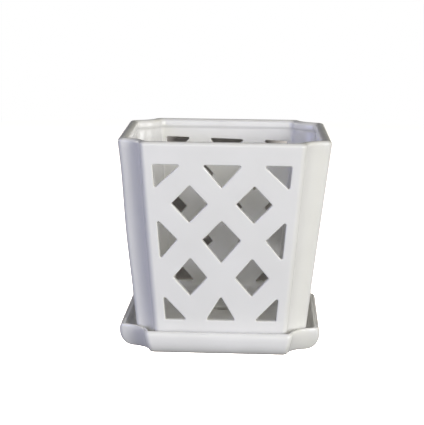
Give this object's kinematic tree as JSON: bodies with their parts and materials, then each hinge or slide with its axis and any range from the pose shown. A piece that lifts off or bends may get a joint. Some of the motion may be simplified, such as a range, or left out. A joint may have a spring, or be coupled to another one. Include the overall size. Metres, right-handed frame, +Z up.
{
  "type": "orchid pot with saucer",
  "caption": "Square tapered ceramic orchid pot with scooped corners and an open diamond lattice in all four walls, standing in a matching saucer.",
  "frame": {"origin": "middle of the saucer's foot, on the surface that it stands on", "axes": "+Z up along the pot's middle, -Y out of the wall that the picture shows, +X to its right"},
  "size_m": [0.1514, 0.1514, 0.1523],
  "materials": {
    "white_glaze": "gloss white glaze"
  },
  "bodies": {
    "saucer_body": {"saucer": "white_glaze"},
    "pot_body": {"lattice_pot": "white_glaze"}
  },
  "joints": [
    {"name": "pot_lift", "type": "slide", "parent": "saucer_body", "child": "pot_body", "axis": [0, 0, 1], "range_m": [0, 0.1]}
  ]
}
